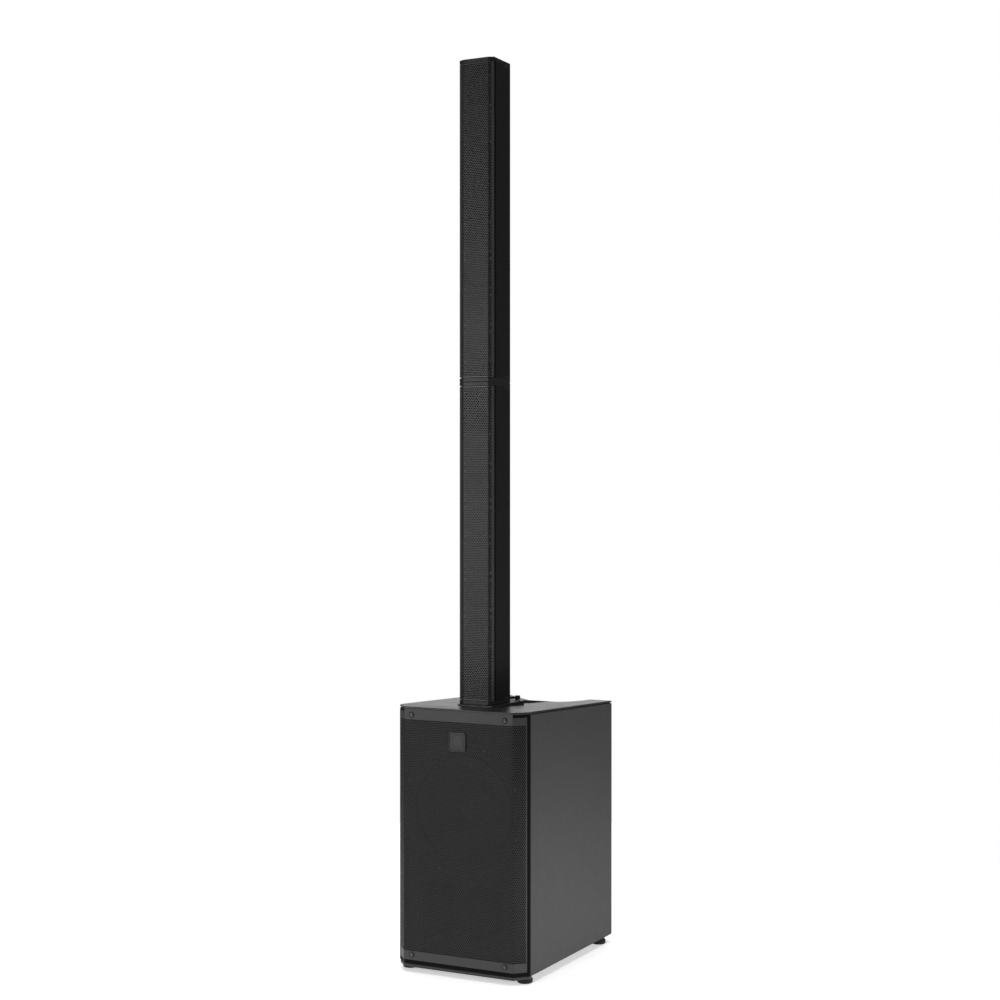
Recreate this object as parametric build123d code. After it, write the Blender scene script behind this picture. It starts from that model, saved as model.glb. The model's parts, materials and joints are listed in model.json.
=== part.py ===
from build123d import *

import math
import os

# PA speaker: two slim column modules plugged into a subwoofer cabinet.
# Millimetres, +Z up, the front faces -Y, the origin is on the floor under the middle of the base.

# Base cabinet
WIDTH = 345.0
DEPTH = 488.0
FRONT = -DEPTH / 2
REAR = DEPTH / 2
HALF = WIDTH / 2
BOARD = 15.0
BAFFLE_BOARD = 18.0
CORNER = 4.0
BOTTOM = 18.3
TOP_BOARD = 557.0
TRIM_LOW, TRIM_HIGH = 12.0, 20.0

# Top deck: level at the front, then falling towards the back
DECK_TOP = 623.5
DECK_BREAK = FRONT + 45.0
DECK_SLOPE = 0.0447
DECK_PLATE = 3.5
DECK_GROOVE = 3.0
GROOVE_INSET = 2.5
DECK_EDGE = 1.6
SEAT_TOP = 625.0
SCOOP_START = FRONT + 345.0
SCOOP_FLOOR = 592.6

# Front: flat grille with a chamfer each side, then the rim of the frame
CREASE_X = 144.3
CHAMFER_DEPTH = 30.1
METAL = 1.5
GRILLE_END = 34.0
GRILLE_LOW, GRILLE_HIGH = 29.0, 618.4
PANEL_FRONT = FRONT + 34.0
FRAME_LOW, FRAME_BAND = 20.3, 612.0
GRILLE_SCREWS = [(x, z) for x in (-123.0, 123.0) for z in (41.5, 604.5)]
BAFFLE_FACE = FRONT + 25.0
FEET_AT = [(x, FRONT + y) for y in (45.0, 453.0) for x in (-152.0, 152.0)]

# Woofer and reflex ports
WOOFER_Z = 388.0
WOOFER_HOLE = 141.0
PORT_X = (14.0, 110.0)
PORT_Z = (69.0, 217.0)
PORT_LENGTH = 174.0
PORT_WALL = 3.0

# Handle pocket behind the column
CUP_FRONT, CUP_BACK = 8.0, 151.0
CUP_HALF_FRONT, CUP_HALF_BACK = 50.0, 75.0
CUP_FLOOR = 566.0
CUP_WALL = 3.5
BAR_Y, BAR_Z, BAR_R = 76.0, 596.0, 8.0

# Amplifier panel at the back
BACK_FACE = 232.0
BACK_TOP = 586.0
PANEL_HALF, PANEL_LOW, PANEL_HIGH, PANEL_T = 118.0, 112.0, 488.0, 3.0
PANEL_FACE = BACK_FACE + PANEL_T
INPUT_AT = (-62.0, 270.0)
LINK_AT = (-18.0, 270.0)
KNOB_AT = (34.0, 270.0)
BUTTONS_AT = {"mode_button": (76.0, 282.0), "ground_button": (76.0, 256.0)}
INLET_AT = (-56.0, 168.0)
ROCKER_AT = (20.0, 168.0)
SOCKET_BORE = 3.3

# Column modules
COLUMN_WIDTH = 93.0
COLUMN_HALF = COLUMN_WIDTH / 2
COLUMN_FRONT = -155.2
COLUMN_REAR = -64.2
COLUMN_Y = (COLUMN_FRONT + COLUMN_REAR) / 2
COLUMN_WALL = 2.5
COLUMN_METAL = 1.2
FACET_X = 33.0
FACET_DEPTH = 6.0
MODULE = 762.0
CAP = 9.0
CAP_TALL = 16.0
CAP_BEVEL = 1.0
CAP_GAP = 1.5
CAP_SCREW_Y = -95.0
SPIGOT_X, SPIGOT_Y, SPIGOT_LENGTH = 60.0, 50.0, 58.0
SOCKET_GAP = 0.4
SOCKET_WALL = 3.0
DRIVER_PITCH = 86.0
DRIVER_SIZE = 82.0
DRIVER_FACE = -142.0
LOWER_Z = SEAT_TOP
UPPER_Z = LOWER_Z + MODULE
LOWER_DRIVERS = [798.8 + DRIVER_PITCH * i for i in range(6)]
UPPER_DRIVERS = [1470.4 + DRIVER_PITCH * i for i in (0, 1, 2, 3, 6, 7)]

# Lock lever behind the column
LEVER_Y = -39.0
LEVER_TIP = (38.0, -12.0)


def save(name, *shapes):
    """Writes one node; several shapes make a group of separate solids."""
    solids = [solid for shape in shapes for solid in shape.solids()]
    export_step(solids[0] if len(solids) == 1 else Compound(solids), f"parts/{name}.step")


def block(x, y, z):
    """Box between the (low, high) pairs x, y and z."""
    size = [high - low for low, high in (x, y, z)]
    middle = [(high + low) / 2 for low, high in (x, y, z)]
    return Pos(*middle) * Box(*size)


def post(x, y, low, high, radius):
    """Upright cylinder."""
    return Pos(x, y, (low + high) / 2) * Cylinder(radius, high - low)


def peg(x, z, front, back, radius):
    """Cylinder along Y."""
    return Pos(x, (front + back) / 2, z) * Rot(90, 0, 0) * Cylinder(radius, back - front)


def prism(points, low, high):
    """Upright prism over a plan outline."""
    face = make_face(Polyline(*points, close=True))
    return extrude(Pos(0, 0, low) * face, amount=high - low, dir=(0, 0, 1))


def side_prism(points, left, right):
    """Prism along X over an outline of (y, z) points."""
    face = make_face(Plane.YZ * Polyline(*points, close=True))
    return extrude(Pos(left, 0, 0) * face, amount=right - left, dir=(1, 0, 0))


def turned(points):
    """Body turned about Z from (radius, height) points."""
    face = make_face(Polyline(*points, close=True))
    return revolve(Plane.XZ * face, Axis.Z)


def aimed(shape, x, y, z):
    """Puts a body turned about Z at a place, with its height running towards the back."""
    return Pos(x, y, z) * Rot(-90, 0, 0) * shape


def mirrored(shape):
    return mirror(shape, about=Plane.YZ)


def both_sides(points):
    """Closes a right-hand outline with its mirror image."""
    return points + [(-x, y) for x, y in reversed(points)]


# Base cabinet


def deck_z(y):
    return DECK_TOP - DECK_SLOPE * max(0.0, y - DECK_BREAK)


def deck_layer(upper, lower):
    """Full-width layer between two depths under the deck's top surface."""
    ends = (FRONT - 1, DECK_BREAK, REAR + 1)
    top = [(y, deck_z(y) - upper) for y in ends]
    under = [(y, deck_z(y) - lower) for y in reversed(ends)]
    return side_prism(top + under, -HALF - 1, HALF + 1)


def along_chamfer(distance, inward):
    """Point on the right chamfer, measured from the crease and moved into the cabinet."""
    run = HALF - CREASE_X
    length = math.hypot(run, CHAMFER_DEPTH)
    ux, uy = run / length, CHAMFER_DEPTH / length
    return CREASE_X + distance * ux - inward * uy, FRONT + distance * uy + inward * ux


def crease_point(inward):
    """Bend line of the right chamfer, moved into the cabinet."""
    half_bend = math.atan2(CHAMFER_DEPTH, HALF - CREASE_X) / 2
    return CREASE_X - inward * math.tan(half_bend), FRONT + inward


def base_outline(inset, low, high):
    """Upright block with the cabinet's plan: chamfered front corners, square back corners."""
    half_bend = math.atan2(HALF - CREASE_X, CHAMFER_DEPTH) / 2
    shoulder = (HALF - inset, FRONT + CHAMFER_DEPTH + inset * math.tan(half_bend))
    plan = prism(both_sides([crease_point(inset), shoulder, (HALF - inset, REAR - inset)]), low, high)
    front_edges = plan.edges().filter_by(Axis.Z).sort_by(Axis.Y)[:4]
    return fillet(front_edges, CORNER - inset)


def side_panel():
    top = DECK_PLATE + DECK_GROOVE
    outline = [
        (PANEL_FRONT, BOTTOM),
        (REAR, BOTTOM),
        (REAR, deck_z(REAR) - top),
        (DECK_BREAK, DECK_TOP - top),
        (PANEL_FRONT, DECK_TOP - top),
    ]
    panel = side_prism(outline, HALF - BOARD, HALF)
    bevel_end = PANEL_FRONT + 38.0
    bevel = [
        (HALF, bevel_end),
        (HALF + 1, bevel_end),
        (HALF + 1, PANEL_FRONT - 1),
        (HALF - 1, PANEL_FRONT - 1),
    ]
    panel -= prism(bevel, BOTTOM - 1, DECK_TOP)
    return chamfer(panel.edges().filter_by(Axis.X).sort_by(Axis.Z)[:2].sort_by(Axis.Y)[-1:], 2.0)


def make_cabinet():
    panel = side_panel()
    save("right_side_panel", panel)
    save("left_side_panel", mirrored(panel))
    inner = HALF - BOARD
    depth = (PANEL_FRONT + BAFFLE_BOARD, BACK_FACE - BOARD)
    save("bottom_panel", block((-inner, inner), depth, (BOTTOM, BOTTOM + BOARD)))
    back = block((-inner, inner), (BACK_FACE - BOARD, BACK_FACE), (BOTTOM, BACK_TOP))
    back -= block((-100, 100), (BACK_FACE - 20, BACK_FACE + 5), (130, 470))
    for x, z in panel_screw_places():
        back -= peg(x, z, BACK_FACE - 12, BACK_FACE + 1, 2.1)
    save("back_panel", back)
    save("top_board", block((-inner, inner), depth, (TOP_BOARD - 12.0, TOP_BOARD)))


def front_frame():
    rim = [
        along_chamfer(GRILLE_END + 0.3, METAL + 0.3),
        along_chamfer(GRILLE_END + 0.7, 0.4),
        (HALF, FRONT + CHAMFER_DEPTH),
        (HALF, PANEL_FRONT),
    ]
    frame = prism(both_sides([crease_point(METAL + 0.3)] + rim), FRAME_LOW, FRAME_BAND)
    band = base_outline(0.3, FRAME_BAND, DECK_TOP)
    band &= block((-HALF, HALF), (FRONT, PANEL_FRONT), (0, DECK_TOP))
    band -= block((-CREASE_X - 0.5, CREASE_X + 0.5), (FRONT - 1, FRONT + METAL + 0.3), (0, DECK_TOP))
    band -= deck_layer(-5, DECK_PLATE + DECK_GROOVE)
    frame += band
    inner = HALF - BOARD
    frame -= block((-inner, inner), (FRONT, PANEL_FRONT + 1), (48, 600))
    for x, z in GRILLE_SCREWS:
        frame -= peg(x, z, FRONT, FRONT + 25, 2.5)
    return frame


def front_grille():
    outer = [(CREASE_X, FRONT), along_chamfer(GRILLE_END, 0.0)]
    inner = [along_chamfer(GRILLE_END, METAL), crease_point(METAL)]
    sheet = prism(both_sides(outer + inner), GRILLE_LOW, GRILLE_HIGH)
    for side in (-1, 1):
        wing = sorted((side * (CREASE_X - 1.0), side * HALF))
        sheet -= block(wing, (FRONT - 1, PANEL_FRONT), (FRAME_BAND - 0.5, GRILLE_HIGH + 1))
    for x, z in GRILLE_SCREWS:
        sheet -= peg(x, z, FRONT - 1, FRONT + 3, 2.8)
    return sheet


def grille_screw(x, z):
    head = turned([(0, 0), (5.2, 0), (5.2, -0.8), (3.6, -2.4), (0, -2.9)])
    return aimed(head, x, FRONT, z) + peg(x, z, FRONT, FRONT + 22, 2.3)


def make_front():
    save("front_frame", front_frame())
    save("front_grille", front_grille())
    save("grille_screws", *[grille_screw(x, z) for x, z in GRILLE_SCREWS])
    badge = block((-22, 22), (FRONT - 3.5, FRONT), (527, 571))
    save("badge_plate", fillet(badge.edges().filter_by(Axis.Y), 4.0))
    trim = base_outline(1.0, TRIM_LOW, TRIM_HIGH) & block((-HALF, HALF), (FRONT, PANEL_FRONT + 4), (0, 30))
    trim -= block((-HALF, HALF), (PANEL_FRONT, REAR), (BOTTOM, 30))
    trim = chamfer(trim.edges().group_by(Axis.Z)[-1].group_by(Axis.Y)[0], 2.0)
    for x, y in FEET_AT[:2]:
        trim -= post(x, y, 0, BOTTOM, 16.0)
    save("bottom_trim", trim)


def front_baffle():
    inner = HALF - BOARD
    board = block((-inner, inner), (PANEL_FRONT, PANEL_FRONT + BAFFLE_BOARD), (BOTTOM, TOP_BOARD))
    plate = block((-inner + 0.3, inner - 0.3), (BAFFLE_FACE, PANEL_FRONT), (48.3, 599.7))
    baffle = board + plate
    baffle -= peg(0, WOOFER_Z, BAFFLE_FACE - 1, PANEL_FRONT + 30, WOOFER_HOLE)
    for side in (-1, 1):
        baffle -= block(sorted((side * PORT_X[0], side * PORT_X[1])), (FRONT, 0), PORT_Z)
    return baffle


def port_duct():
    """Right-hand rectangular duct with round inner corners, flush with the baffle's face."""
    ends = (BAFFLE_FACE, BAFFLE_FACE + PORT_LENGTH)
    duct = block(PORT_X, ends, PORT_Z)
    low, high = PORT_X[0] + PORT_WALL, PORT_X[1] - PORT_WALL
    hole = block((low, high), (ends[0] - 1, ends[1] + 1), (PORT_Z[0] + PORT_WALL, PORT_Z[1] - PORT_WALL))
    return duct - fillet(hole.edges().filter_by(Axis.Y), 14.0)


def deck_scoop():
    """Dip across the middle of the deck's back edge, deepest at the edge."""
    back = [(119, 604.6), (60, SCOOP_FLOOR), (-60, SCOOP_FLOOR), (-119, 604.6), (-119, 640), (119, 640)]
    start = deck_z(SCOOP_START) + 0.3
    front = [(119, start), (60, start - 0.1), (-60, start - 0.1), (-119, start), (-119, 640), (119, 640)]
    sections = []
    for y, points in ((REAR + 1, back), (SCOOP_START, front)):
        sections.append(make_face(Polyline(*[(x, y, z) for x, z in points], close=True)))
    return loft(sections, ruled=True)


def cup_plan(grow, low, high):
    """Upright block with the handle pocket's plan, wider at the back."""
    corners = [
        (CUP_HALF_FRONT + grow, CUP_FRONT - grow),
        (CUP_HALF_BACK + grow, CUP_BACK + grow),
    ]
    pocket = prism(both_sides(corners), low, high)
    return fillet(pocket.edges().filter_by(Axis.Z), 12.0 + grow)


def seat_block():
    """Level seat for the column, flaring towards the back."""
    front_y, back_y = FRONT + 84.0, FRONT + 228.0
    seat = prism(both_sides([(47.8, front_y), (60.5, back_y)]), DECK_TOP - 25, SEAT_TOP)
    seat = fillet(seat.edges().filter_by(Axis.Z), 6.0)
    return chamfer(seat.faces().sort_by(Axis.Z)[-1].edges(), 0.8)


def socket_block(grow, low, high):
    """Upright block with the plan of the column's spigot, grown on all sides."""
    x = SPIGOT_X / 2 + grow
    y = SPIGOT_Y / 2 + grow
    plug = block((-x, x), (COLUMN_Y - y, COLUMN_Y + y), (low, high))
    return fillet(plug.edges().filter_by(Axis.Z), 6.0 + grow)


def top_rim(plate):
    """Outer edges of the deck's top surface, without the line where its slope begins."""
    rim = []
    for edge in plate.edges():
        middle = edge.center()
        on_top = abs(middle.Z - deck_z(middle.Y)) < 0.05
        if on_top and (abs(middle.X) > 1 or abs(middle.Y) > HALF):
            rim.append(edge)
    return rim


def top_deck():
    plate = base_outline(0.0, 500, 700) & deck_layer(0, DECK_PLATE)
    plate = fillet(top_rim(plate), DECK_EDGE)
    lip = base_outline(GROOVE_INSET, 500, 700) & deck_layer(DECK_PLATE, DECK_PLATE + DECK_GROOVE)
    skirt_x = HALF - BOARD - 0.3
    skirt_y = (PANEL_FRONT + BAFFLE_BOARD + 0.3, BACK_FACE - BOARD - 0.3)
    skirt = block((-skirt_x, skirt_x), skirt_y, (500, 700)) & deck_layer(DECK_PLATE + DECK_GROOVE, 28)
    skirt -= block((-skirt_x + 4, skirt_x - 4), (skirt_y[0] + 4, skirt_y[1] - 4), (500, 700))
    under_scoop = block((-128, 128), (SCOOP_START + 20, REAR), (500, 700)) & deck_layer(DECK_PLATE, 18)
    back_lip = block((-skirt_x, skirt_x), (skirt_y[1], BACK_FACE), (BACK_TOP, 700))
    back_lip &= deck_layer(DECK_PLATE, 30)
    deck = plate + lip + skirt + under_scoop + back_lip + seat_block()
    deck -= deck_scoop()
    deck -= block((-HALF, HALF), (BACK_FACE - BOARD, BACK_FACE), (500, BACK_TOP))
    deck -= cup_plan(CUP_WALL, 500, 700)
    deck -= socket_block(SOCKET_GAP + SOCKET_WALL, 500, 700)
    deck -= post(0, LEVER_Y, 590, 640, 4.05)
    return deck


def handle_cup():
    """Pocket insert: walls and floor, its rim flush with the deck."""
    cup = cup_plan(CUP_WALL, CUP_FLOOR - CUP_WALL, 640) - cup_plan(0.0, CUP_FLOOR, 641)
    cup -= deck_layer(-40, 0)
    return cup - deck_scoop()


def column_socket():
    grow = SOCKET_GAP + SOCKET_WALL
    return socket_block(grow, TOP_BOARD, SEAT_TOP - 0.6) - socket_block(SOCKET_GAP, TOP_BOARD + 3, SEAT_TOP)


def lock_lever():
    angle = math.degrees(math.atan2(LEVER_TIP[1] - LEVER_Y, LEVER_TIP[0]))
    reach = math.hypot(LEVER_TIP[0], LEVER_TIP[1] - LEVER_Y)
    hub = post(0, 0, SEAT_TOP + 0.3, SEAT_TOP + 8.5, 9.0)
    arm = block((0, reach), (-3.5, 3.5), (SEAT_TOP + 2.5, SEAT_TOP + 8.0))
    tip = block((reach - 6, reach + 6), (-5.5, 5.5), (SEAT_TOP + 0.8, SEAT_TOP + 10.0))
    tip = fillet(tip.edges().filter_by(Axis.Z), 4.0)
    shaft = post(0, 0, 596, SEAT_TOP + 1, 4.0)
    return Pos(0, LEVER_Y, 0) * Rot(0, 0, angle) * (hub + arm + tip + shaft)


def make_top():
    save("top_deck", top_deck())
    save("handle_cup", handle_cup())
    bar = Pos(0, BAR_Y, BAR_Z) * Rot(0, 90, 0) * Cylinder(BAR_R, WIDTH)
    save("handle_bar", bar & cup_plan(0.0, 500, 700))
    save("column_socket", column_socket())
    save("lock_lever", lock_lever())


def rubber_foot(x, y):
    foot = turned([(0, 0), (16, 0), (18, 2), (18, 9), (15.5, 10.5), (15.5, BOTTOM), (0, BOTTOM)])
    return Pos(x, y, 0) * foot


# Woofer: heights are measured from the baffle's face towards the back


def woofer_frame():
    profile = [
        (156, -5), (156, 0), (139, 0), (139, 11), (84, 95), (84, 99), (36, 99),
        (36, 95), (80, 95), (135, 9.5), (135, -5),
    ]
    frame = turned(profile)
    window = block((60, 150), (-30, 30), (22, 80))
    window = fillet(window.edges().filter_by(Axis.X), 10.0)
    for i in range(6):
        frame -= Rot(0, 0, 60 * i) * window
    for i in range(8):
        frame -= Rot(0, 0, 45 * i + 22.5) * post(148, 0, -6, 1, 2.8)
    return frame


def surround():
    """Half-roll between the cone's edge and the frame."""
    inner, outer, middle = 122.3, 134.7, 128.5
    over = ThreePointArc((inner, 4.5), (middle, -1.5), (outer, 4.5))
    under = ThreePointArc((outer - 1, 4.5), (middle, -0.5), (inner + 1, 4.5))
    ends = [Line((outer, 4.5), (outer - 1, 4.5)), Line((inner + 1, 4.5), (inner, 4.5))]
    face = make_face([over, under] + ends)
    return revolve(Plane.XZ * face, Axis.Z)


def dust_cap():
    """Shallow dome over the cone's neck."""
    apex, radius = 61.6, 112.4
    shell = Sphere(radius) - Sphere(radius - 1.0)
    return (Pos(0, 0, apex + radius) * shell) & post(0, 0, apex - 1, apex + 11, 44.3)


def woofer_parts():
    """Each woofer piece by node name, turned about its own axis."""
    pole = turned([(12, 97), (30.6, 97), (30.6, 127), (72, 127), (72, 135), (12, 135)])
    return {
        "woofer_frame": woofer_frame(),
        "woofer_top_plate": turned([(34.2, 99), (72, 99), (72, 107), (34.2, 107)]),
        "woofer_magnet": turned([(42, 107), (80, 107), (80, 127), (42, 127)]),
        "woofer_pole_piece": pole,
        "woofer_voice_coil": turned([(31.6, 76), (33.4, 76), (33.4, 114), (31.6, 114)]),
        "woofer_spider": turned([(33.6, 87), (83.0, 87), (83.0, 88), (33.6, 88)]),
        "woofer_cone": turned([(122, 4), (122, 6), (33.5, 84), (33.5, 81.6)]),
        "woofer_dust_cap": dust_cap(),
        "woofer_surround": surround(),
    }


def woofer_screw(angle):
    """Pan head on the frame's flange with its shank in the baffle board."""
    head = turned([(0, -8.2), (3.5, -7.6), (4.6, -6.0), (4.6, -5), (2.5, -5), (2.5, 16), (0, 16)])
    return Rot(0, 0, angle) * Pos(148, 0, 0) * head


def make_woofer():
    for name, shape in woofer_parts().items():
        save(name, aimed(shape, 0, BAFFLE_FACE, WOOFER_Z))
    screws = [aimed(woofer_screw(45 * i + 22.5), 0, BAFFLE_FACE, WOOFER_Z) for i in range(8)]
    save("woofer_screws", *screws)
    baffle = front_baffle()
    for screw in screws:
        baffle -= screw
    save("front_baffle", baffle)
    duct = port_duct()
    save("port_ducts", duct, mirrored(duct))


# Amplifier


def amp_panel():
    panel = block((-PANEL_HALF, PANEL_HALF), (BACK_FACE, PANEL_FACE), (PANEL_LOW, PANEL_HIGH))
    panel = fillet(panel.edges().filter_by(Axis.Y), 5.0)
    for x in (-80, 80):
        for z in (145, 322, 338, 462):
            panel += peg(x, z, 206.6, BACK_FACE, 3.0)
    through = (BACK_FACE - 1, PANEL_FACE + 1)
    for x, z in (INPUT_AT, LINK_AT):
        panel -= peg(x, z, *through, 12.0)
    panel -= latch_slot(*through)
    panel -= peg(*KNOB_AT, *through, 3.05)
    for x, z in BUTTONS_AT.values():
        panel -= peg(x, z, *through, 3.9)
    panel -= block((INLET_AT[0] - 14, INLET_AT[0] + 14), through, (INLET_AT[1] - 11, INLET_AT[1] + 11))
    panel -= block((ROCKER_AT[0] - 9.5, ROCKER_AT[0] + 9.5), through, (ROCKER_AT[1] - 14, ROCKER_AT[1] + 14))
    for x, z in panel_screw_places():
        panel -= peg(x, z, *through, 2.4)
    return panel


def panel_screw_places():
    xs = (-109.0, 109.0)
    zs = (121.0, 239.5, 360.5, 479.0)
    return [(x, z) for x in xs for z in zs]


def panel_screw(x, z):
    head = turned([(0, 2.6), (3, 2.2), (4.2, 0.9), (4.2, 0), (2, 0), (2, -14), (0, -14)])
    return aimed(head, x, PANEL_FACE, z)


def heatsink():
    sink = block((-95, 95), (PANEL_FACE, PANEL_FACE + 4), (335, 465))
    for i in range(16):
        x = -90 + 12 * i
        sink += block((x - 1.2, x + 1.2), (PANEL_FACE + 4, REAR + 3.5), (335, 465))
    return sink


def board_with(parts, low, high):
    """Circuit board on the panel's posts, with its large parts."""
    board = block((-88, 88), (205, 206.6), (low, high))
    for part in parts:
        board += part
    return board


def socket_body(x, z):
    """Square flange on the panel with a round barrel through it."""
    flange = block((x - 13, x + 13), (PANEL_FACE, PANEL_FACE + 2), (z - 15.5, z + 15.5))
    flange = fillet(flange.edges().filter_by(Axis.Y), 3.0)
    return flange + peg(x, z, 209, PANEL_FACE, 11.8)


def latch_slot(front, back):
    x, z = INPUT_AT
    return block((x - 3.5, x + 3.5), (front, back), (z + 10.6, z + 14.2))


def input_socket():
    x, z = INPUT_AT
    mouth = PANEL_FACE + 2
    socket = socket_body(x, z)
    socket -= peg(x, z, mouth - 14, mouth + 1, 9.8) - peg(x, z, mouth - 15, mouth + 2, 8.0)
    socket -= peg(x, z, mouth - 20, mouth + 1, SOCKET_BORE)
    for angle in (90, 210, 330):
        dx, dz = 5.6 * math.cos(math.radians(angle)), 5.6 * math.sin(math.radians(angle))
        socket -= peg(x + dx, z + dz, mouth - 12, mouth + 1, 1.3)
    return socket - latch_slot(mouth - 8, mouth + 1)


def input_latch():
    x, z = INPUT_AT
    tab = block((x - 3.1, x + 3.1), (PANEL_FACE - 3, PANEL_FACE + 4.5), (z + 11.0, z + 13.8))
    return fillet(tab.edges().filter_by(Axis.X).group_by(Axis.Y)[-1], 1.0)


def link_socket():
    x, z = LINK_AT
    mouth = PANEL_FACE + 2
    socket = socket_body(x, z) - peg(x, z, mouth - 15, mouth + 1, 9.3)
    for angle in (90, 210, 330):
        dx, dz = 5.6 * math.cos(math.radians(angle)), 5.6 * math.sin(math.radians(angle))
        socket += peg(x + dx, z + dz, mouth - 16, mouth - 3, 1.2)
    return socket


def level_knob():
    x, z = KNOB_AT
    body = turned([(0, 3.3), (10.5, 3.3), (10.5, 5), (9, 11), (8.2, 11.8), (0, 11.8)])
    knob = aimed(body, x, BACK_FACE, z) + peg(x, z, 222, BACK_FACE + 5, 3.0)
    return knob - block((x - 0.5, x + 0.5), (BACK_FACE + 11, BACK_FACE + 13), (z + 2, z + 9))


def push_button(x, z):
    cap = peg(x, z, BACK_FACE - 8, PANEL_FACE + 5, 3.5)
    return chamfer(cap.edges().group_by(Axis.Y)[-1], 0.5)


def power_inlet():
    x, z = INLET_AT
    mouth = PANEL_FACE + 2
    inlet = block((x - 25, x + 25), (PANEL_FACE, mouth), (z - 14, z + 14))
    inlet = fillet(inlet.edges().filter_by(Axis.Y), 4.0)
    inlet += block((x - 13.8, x + 13.8), (212, PANEL_FACE), (z - 10.8, z + 10.8))
    inlet -= block((x - 12, x + 12), (mouth - 17, mouth + 1), (z - 8.5, z + 8.5))
    for dx, dz in ((-7, -2), (0, 2), (7, -2)):
        inlet += block((x + dx - 1, x + dx + 1), (mouth - 18, mouth - 3), (z + dz - 3, z + dz + 3))
    return inlet


def rocker_frame():
    x, z = ROCKER_AT
    frame = block((x - 12, x + 12), (PANEL_FACE, PANEL_FACE + 2), (z - 16.5, z + 16.5))
    frame = fillet(frame.edges().filter_by(Axis.Y), 2.0)
    frame += block((x - 9.3, x + 9.3), (214, PANEL_FACE), (z - 13.8, z + 13.8))
    return frame - block((x - 7, x + 7), (217, PANEL_FACE + 3), (z - 12, z + 12))


def power_rocker():
    """Rocker tilted to its off position about a pivot just behind the panel."""
    outline = [(6.5, 9.5), (4.0, 0), (6.5, -9.5), (2.0, -10), (-7, -4), (-7, 4), (2.0, 10)]
    rocker = side_prism(outline, -6.6, 6.6)
    return Pos(ROCKER_AT[0], BACK_FACE + 1, ROCKER_AT[1]) * Rot(-9, 0, 0) * rocker


def make_amplifier():
    panel = amp_panel()
    save("amp_panel", panel)
    save("heatsink", heatsink())
    screws = [panel_screw(x, z) for x, z in panel_screw_places()]
    save("panel_screws", *screws)
    chokes = [peg(x, 200, 180, 205, 9) for x in (-60, -30)] + [block((10, 60), (185, 205), (190, 215))]
    save("amp_board", board_with(chokes, 138, 329))
    supply = [peg(-40, 400, 170, 205, 34), peg(30, 380, 165, 205, 15), peg(65, 380, 165, 205, 15)]
    supply.append(block((20, 75), (185, 205), (415, 450)))
    save("power_supply", board_with(supply, 331, 470))
    save("input_socket", input_socket())
    save("input_latch", input_latch())
    save("link_socket", link_socket())
    save("level_knob", level_knob())
    for name, (x, z) in BUTTONS_AT.items():
        save(name, push_button(x, z))
    save("power_inlet", power_inlet())
    save("rocker_frame", rocker_frame())
    save("power_rocker", power_rocker())


# Column modules


def column_plan(low, high, front_shift=0.0):
    """Upright block with the column's plan: narrow facets in front, round back corners."""
    right = [
        (FACET_X, COLUMN_FRONT + front_shift),
        (COLUMN_HALF, COLUMN_FRONT + FACET_DEPTH + front_shift),
        (COLUMN_HALF, COLUMN_REAR),
    ]
    body = prism(both_sides(right), low, high)
    return fillet(body.edges().filter_by(Axis.Z).group_by(Axis.Y)[-1], 5.0)


def end_cap(low, high, skirt_low, skirt_high, outer_face):
    """End plate of a module with its taller part around the back and a bevelled outer face."""
    tall = block((-60, 60), (CAP_SCREW_Y - 6, COLUMN_REAR + 5), (skirt_low, skirt_high))
    cap = column_plan(low, high) + (column_plan(skirt_low, skirt_high) & tall)
    return chamfer(cap.faces().sort_by(Axis.Z)[outer_face].edges(), CAP_BEVEL)


def column_inside(low, high):
    """Upright block with the plan of the space between the housing's walls."""
    corners = [(COLUMN_HALF - COLUMN_WALL, COLUMN_FRONT - 5), (COLUMN_HALF - COLUMN_WALL, COLUMN_REAR - 3)]
    return prism(both_sides(corners), low, high)


def housing(z0):
    """Aluminium channel, open at the front where the grille goes."""
    low, high = z0 + CAP, z0 + MODULE - CAP
    shell = column_plan(low, high, FACET_DEPTH + 1.3) & block((-60, 60), (-147.8, 0), (low, high))
    inner = column_inside(low - 1, high + 1)
    shell -= fillet(inner.edges().filter_by(Axis.Z).group_by(Axis.Y)[-1], 3.0)
    for end_low, end_high in ((low - 1, z0 + CAP_TALL), (z0 + MODULE - CAP_TALL, high + 1)):
        shell -= block((-60, 60), (CAP_SCREW_Y - 6.2, 0), (end_low, end_high))
    return shell


def column_grille(z0):
    """Bent sheet over the column's front, held by the end caps."""
    outer = [(FACET_X, COLUMN_FRONT), (COLUMN_HALF, COLUMN_FRONT + FACET_DEPTH)]
    back = COLUMN_FRONT + COLUMN_METAL
    inner = [(COLUMN_HALF, back + FACET_DEPTH), (FACET_X - 0.3, back)]
    return prism(both_sides(outer + inner), z0 + CAP + CAP_GAP, z0 + MODULE - CAP - CAP_GAP)


def foot_cap(z0):
    """Bottom cap with the hollow spigot that plugs into the piece below."""
    cap = end_cap(z0, z0 + CAP, z0, z0 + CAP_TALL, 0)
    cap += socket_block(0.0, z0 - SPIGOT_LENGTH, z0 + 1)
    cap = cap - socket_block(-4.0, z0 - SPIGOT_LENGTH - 1, z0 + CAP + 1)
    return hollow_skirt(cap, z0 + CAP, z0 + CAP_TALL)


def top_cap(z0, open_top):
    """Top cap, with a socket for the next module where one goes there."""
    top = z0 + MODULE
    cap = end_cap(top - CAP, top, top - CAP_TALL, top, -1)
    cap = hollow_skirt(cap, top - CAP_TALL, top - CAP)
    if not open_top:
        return cap
    grow = SOCKET_GAP + SOCKET_WALL
    cap += socket_block(grow, top - SPIGOT_LENGTH - 5, top)
    return cap - socket_block(SOCKET_GAP, top - SPIGOT_LENGTH - 2, top + 1)


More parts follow.
